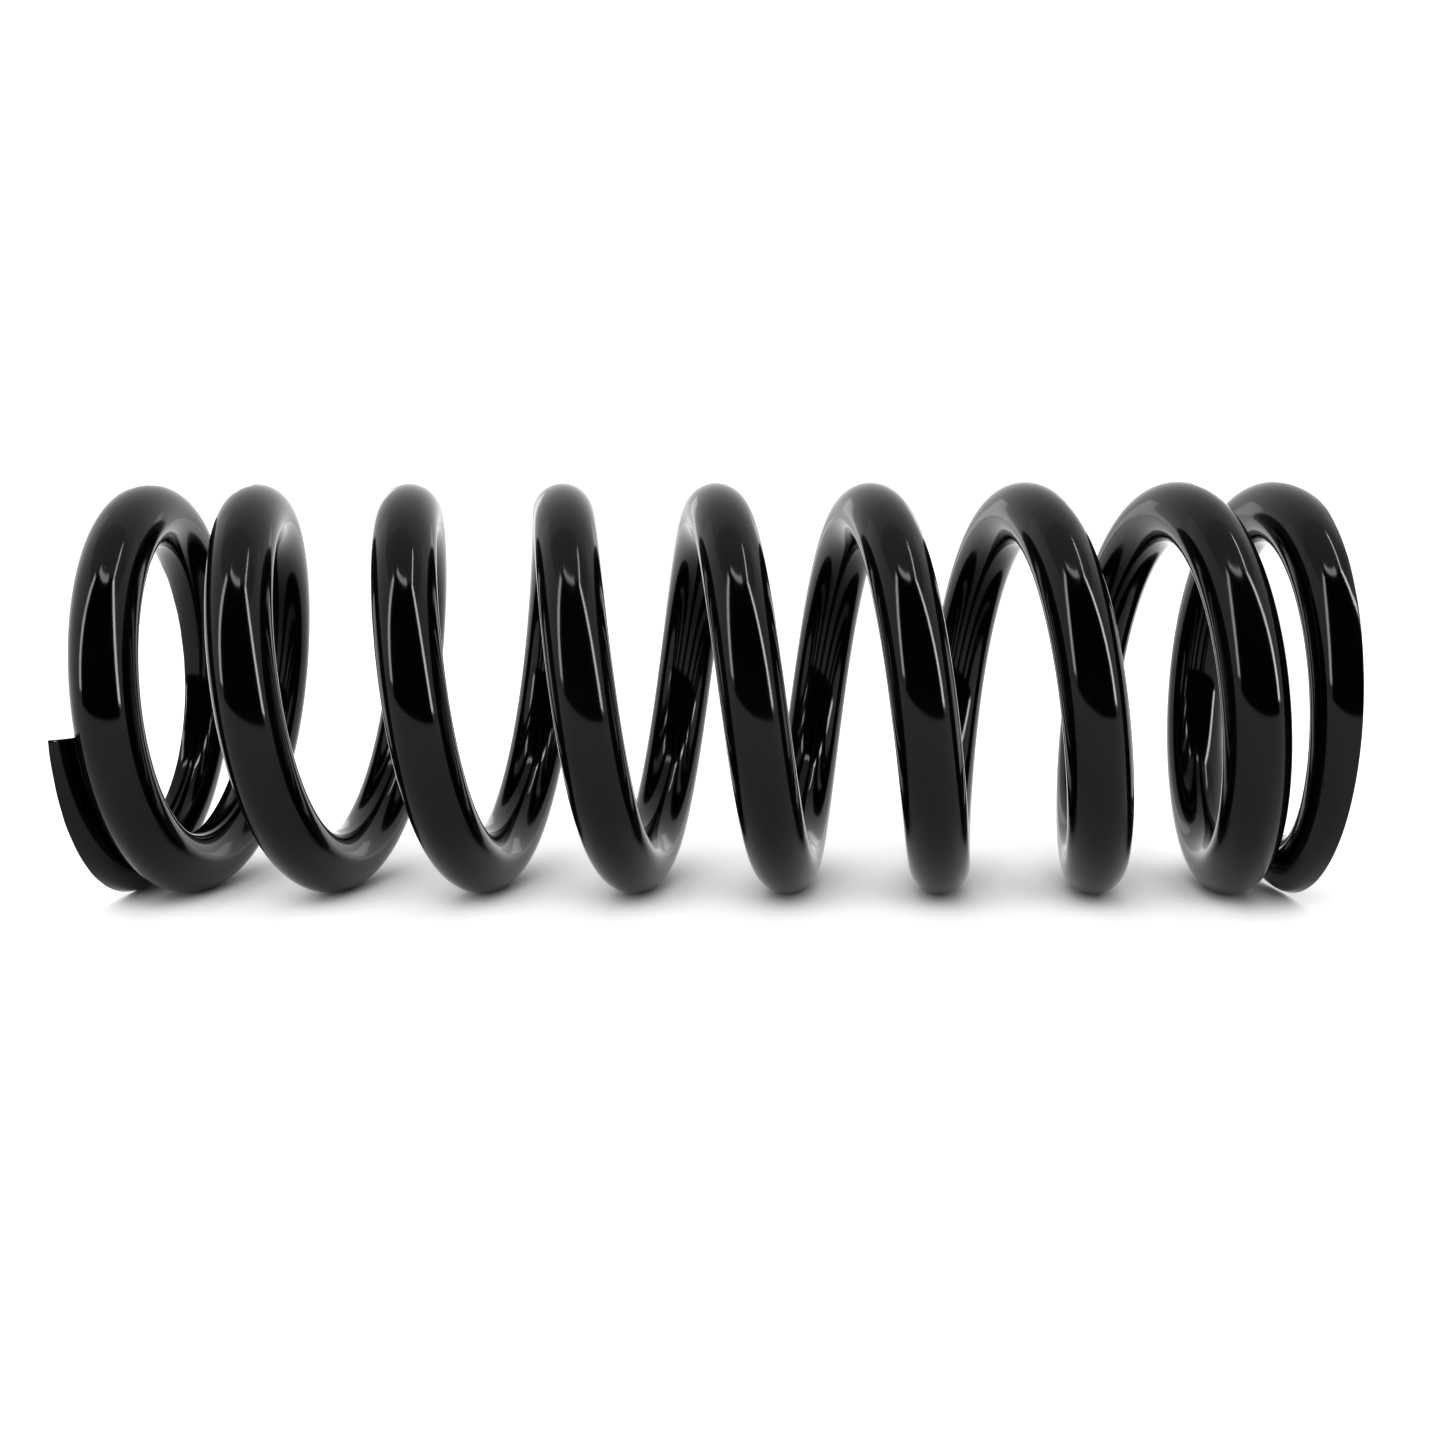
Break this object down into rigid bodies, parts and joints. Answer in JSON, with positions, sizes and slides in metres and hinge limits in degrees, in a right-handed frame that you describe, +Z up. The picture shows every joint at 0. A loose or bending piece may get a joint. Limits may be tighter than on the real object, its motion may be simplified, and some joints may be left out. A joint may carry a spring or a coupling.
{
  "type": "coil spring",
  "caption": "Round-wire helical compression spring, right-hand wound, ends closed and ground flat, black coated; its coils close up along the axis.",
  "frame": {"origin": "where the coil axis meets the plane of the left ground seat", "axes": "+X along the coil axis towards the other seat, +Z up with the spring lying on its side, -Y towards the side where the left wire end is cut"},
  "size_m": [0.254, 0.0896, 0.0896],
  "materials": {
    "black_powder_coat": "gloss black powder coat over spring steel"
  },
  "bodies": {
    "left_end_coil": {"left_end_coil": "black_powder_coat"},
    "coil_1_front": {"coil_1_front": "black_powder_coat"},
    "coil_1_bottom": {"coil_1_bottom": "black_powder_coat"},
    "coil_1_back": {"coil_1_back": "black_powder_coat"},
    "coil_1_top": {"coil_1_top": "black_powder_coat"},
    "coil_2_front": {"coil_2_front": "black_powder_coat"},
    "coil_2_bottom": {"coil_2_bottom": "black_powder_coat"},
    "coil_2_back": {"coil_2_back": "black_powder_coat"},
    "coil_2_top": {"coil_2_top": "black_powder_coat"},
    "coil_3_front": {"coil_3_front": "black_powder_coat"},
    "coil_3_bottom": {"coil_3_bottom": "black_powder_coat"},
    "coil_3_back": {"coil_3_back": "black_powder_coat"},
    "coil_3_top": {"coil_3_top": "black_powder_coat"},
    "coil_4_front": {"coil_4_front": "black_powder_coat"},
    "coil_4_bottom": {"coil_4_bottom": "black_powder_coat"},
    "coil_4_back": {"coil_4_back": "black_powder_coat"},
    "coil_4_top": {"coil_4_top": "black_powder_coat"},
    "coil_5_front": {"coil_5_front": "black_powder_coat"},
    "coil_5_bottom": {"coil_5_bottom": "black_powder_coat"},
    "coil_5_back": {"coil_5_back": "black_powder_coat"},
    "coil_5_top": {"coil_5_top": "black_powder_coat"},
    "coil_6_front": {"coil_6_front": "black_powder_coat"},
    "coil_6_bottom": {"coil_6_bottom": "black_powder_coat"},
    "coil_6_back": {"coil_6_back": "black_powder_coat"},
    "coil_6_top": {"coil_6_top": "black_powder_coat"},
    "coil_7_front": {"coil_7_front": "black_powder_coat"},
    "coil_7_bottom": {"coil_7_bottom": "black_powder_coat"},
    "coil_7_back": {"coil_7_back": "black_powder_coat"},
    "coil_7_top": {"coil_7_top": "black_powder_coat"},
    "coil_8_front": {"coil_8_front": "black_powder_coat"},
    "coil_8_bottom": {"coil_8_bottom": "black_powder_coat"},
    "right_end_coil": {"right_end_coil": "black_powder_coat"}
  },
  "joints": [
    {"name": "compress", "type": "slide", "parent": "left_end_coil", "child": "right_end_coil", "axis": [-1, 0, 0], "range_m": [0, 0.115], "stiffness_N_per_m": 88000},
    {"name": "coil_1_front_closes", "type": "slide", "parent": "left_end_coil", "child": "coil_1_front", "axis": [-1, 0, 0], "range_m": [0, 0.00028]},
    {"name": "coil_1_bottom_closes", "type": "slide", "parent": "left_end_coil", "child": "coil_1_bottom", "axis": [-1, 0, 0], "range_m": [0, 0.00065]},
    {"name": "coil_1_back_closes", "type": "slide", "parent": "left_end_coil", "child": "coil_1_back", "axis": [-1, 0, 0], "range_m": [0, 0.0028]},
    {"name": "coil_1_top_closes", "type": "slide", "parent": "left_end_coil", "child": "coil_1_top", "axis": [-1, 0, 0], "range_m": [0, 0.00649]},
    {"name": "coil_2_front_closes", "type": "slide", "parent": "left_end_coil", "child": "coil_2_front", "axis": [-1, 0, 0], "range_m": [0, 0.01082]},
    {"name": "coil_2_bottom_closes", "type": "slide", "parent": "left_end_coil", "child": "coil_2_bottom", "axis": [-1, 0, 0], "range_m": [0, 0.01519]},
    {"name": "coil_2_back_closes", "type": "slide", "parent": "left_end_coil", "child": "coil_2_back", "axis": [-1, 0, 0], "range_m": [0, 0.01955]},
    {"name": "coil_2_top_closes", "type": "slide", "parent": "left_end_coil", "child": "coil_2_top", "axis": [-1, 0, 0], "range_m": [0, 0.02391]},
    {"name": "coil_3_front_closes", "type": "slide", "parent": "left_end_coil", "child": "coil_3_front", "axis": [-1, 0, 0], "range_m": [0, 0.02825]},
    {"name": "coil_3_bottom_closes", "type": "slide", "parent": "left_end_coil", "child": "coil_3_bottom", "axis": [-1, 0, 0], "range_m": [0, 0.03263]},
    {"name": "coil_3_back_closes", "type": "slide", "parent": "left_end_coil", "child": "coil_3_back", "axis": [-1, 0, 0], "range_m": [0, 0.03699]},
    {"name": "coil_3_top_closes", "type": "slide", "parent": "left_end_coil", "child": "coil_3_top", "axis": [-1, 0, 0], "range_m": [0, 0.04135]},
    {"name": "coil_4_front_closes", "type": "slide", "parent": "left_end_coil", "child": "coil_4_front", "axis": [-1, 0, 0], "range_m": [0, 0.04569]},
    {"name": "coil_4_bottom_closes", "type": "slide", "parent": "left_end_coil", "child": "coil_4_bottom", "axis": [-1, 0, 0], "range_m": [0, 0.05007]},
    {"name": "coil_4_back_closes", "type": "slide", "parent": "left_end_coil", "child": "coil_4_back", "axis": [-1, 0, 0], "range_m": [0, 0.05442]},
    {"name": "coil_4_top_closes", "type": "slide", "parent": "left_end_coil", "child": "coil_4_top", "axis": [-1, 0, 0], "range_m": [0, 0.05878]},
    {"name": "coil_5_front_closes", "type": "slide", "parent": "left_end_coil", "child": "coil_5_front", "axis": [-1, 0, 0], "range_m": [0, 0.06313]},
    {"name": "coil_5_bottom_closes", "type": "slide", "parent": "left_end_coil", "child": "coil_5_bottom", "axis": [-1, 0, 0], "range_m": [0, 0.0675]},
    {"name": "coil_5_back_closes", "type": "slide", "parent": "left_end_coil", "child": "coil_5_back", "axis": [-1, 0, 0], "range_m": [0, 0.07186]},
    {"name": "coil_5_top_closes", "type": "slide", "parent": "left_end_coil", "child": "coil_5_top", "axis": [-1, 0, 0], "range_m": [0, 0.07622]},
    {"name": "coil_6_front_closes", "type": "slide", "parent": "left_end_coil", "child": "coil_6_front", "axis": [-1, 0, 0], "range_m": [0, 0.08057]},
    {"name": "coil_6_bottom_closes", "type": "slide", "parent": "left_end_coil", "child": "coil_6_bottom", "axis": [-1, 0, 0], "range_m": [0, 0.08494]},
    {"name": "coil_6_back_closes", "type": "slide", "parent": "left_end_coil", "child": "coil_6_back", "axis": [-1, 0, 0], "range_m": [0, 0.0893]},
    {"name": "coil_6_top_closes", "type": "slide", "parent": "left_end_coil", "child": "coil_6_top", "axis": [-1, 0, 0], "range_m": [0, 0.09366]},
    {"name": "coil_7_front_closes", "type": "slide", "parent": "left_end_coil", "child": "coil_7_front", "axis": [-1, 0, 0], "range_m": [0, 0.098]},
    {"name": "coil_7_bottom_closes", "type": "slide", "parent": "left_end_coil", "child": "coil_7_bottom", "axis": [-1, 0, 0], "range_m": [0, 0.10238]},
    {"name": "coil_7_back_closes", "type": "slide", "parent": "left_end_coil", "child": "coil_7_back", "axis": [-1, 0, 0], "range_m": [0, 0.10659]},
    {"name": "coil_7_top_closes", "type": "slide", "parent": "left_end_coil", "child": "coil_7_top", "axis": [-1, 0, 0], "range_m": [0, 0.11018]},
    {"name": "coil_8_front_closes", "type": "slide", "parent": "left_end_coil", "child": "coil_8_front", "axis": [-1, 0, 0], "range_m": [0, 0.1128]},
    {"name": "coil_8_bottom_closes", "type": "slide", "parent": "left_end_coil", "child": "coil_8_bottom", "axis": [-1, 0, 0], "range_m": [0, 0.11437]}
  ],
  "couplings": [
    {"joint": "coil_1_front_closes", "follows": "compress", "ratio": 0.00232},
    {"joint": "coil_1_bottom_closes", "follows": "compress", "ratio": 0.00554},
    {"joint": "coil_1_back_closes", "follows": "compress", "ratio": 0.02421},
    {"joint": "coil_1_top_closes", "follows": "compress", "ratio": 0.05631},
    {"joint": "coil_2_front_closes", "follows": "compress", "ratio": 0.09393},
    {"joint": "coil_2_bottom_closes", "follows": "compress", "ratio": 0.13196},
    {"joint": "coil_2_back_closes", "follows": "compress", "ratio": 0.16987},
    {"joint": "coil_2_top_closes", "follows": "compress", "ratio": 0.20777},
    {"joint": "coil_3_front_closes", "follows": "compress", "ratio": 0.24556},
    {"joint": "coil_3_bottom_closes", "follows": "compress", "ratio": 0.28359},
    {"joint": "coil_3_back_closes", "follows": "compress", "ratio": 0.3215},
    {"joint": "coil_3_top_closes", "follows": "compress", "ratio": 0.3594},
    {"joint": "coil_4_front_closes", "follows": "compress", "ratio": 0.39719},
    {"joint": "coil_4_bottom_closes", "follows": "compress", "ratio": 0.43522},
    {"joint": "coil_4_back_closes", "follows": "compress", "ratio": 0.47313},
    {"joint": "coil_4_top_closes", "follows": "compress", "ratio": 0.51103},
    {"joint": "coil_5_front_closes", "follows": "compress", "ratio": 0.54882},
    {"joint": "coil_5_bottom_closes", "follows": "compress", "ratio": 0.58685},
    {"joint": "coil_5_back_closes", "follows": "compress", "ratio": 0.62476},
    {"joint": "coil_5_top_closes", "follows": "compress", "ratio": 0.66266},
    {"joint": "coil_6_front_closes", "follows": "compress", "ratio": 0.70045},
    {"joint": "coil_6_bottom_closes", "follows": "compress", "ratio": 0.73848},
    {"joint": "coil_6_back_closes", "follows": "compress", "ratio": 0.77638},
    {"joint": "coil_6_top_closes", "follows": "compress", "ratio": 0.81429},
    {"joint": "coil_7_front_closes", "follows": "compress", "ratio": 0.85208},
    {"joint": "coil_7_bottom_closes", "follows": "compress", "ratio": 0.89011},
    {"joint": "coil_7_back_closes", "follows": "compress", "ratio": 0.92676},
    {"joint": "coil_7_top_closes", "follows": "compress", "ratio": 0.95797},
    {"joint": "coil_8_front_closes", "follows": "compress", "ratio": 0.9807},
    {"joint": "coil_8_bottom_closes", "follows": "compress", "ratio": 0.99443}
  ]
}
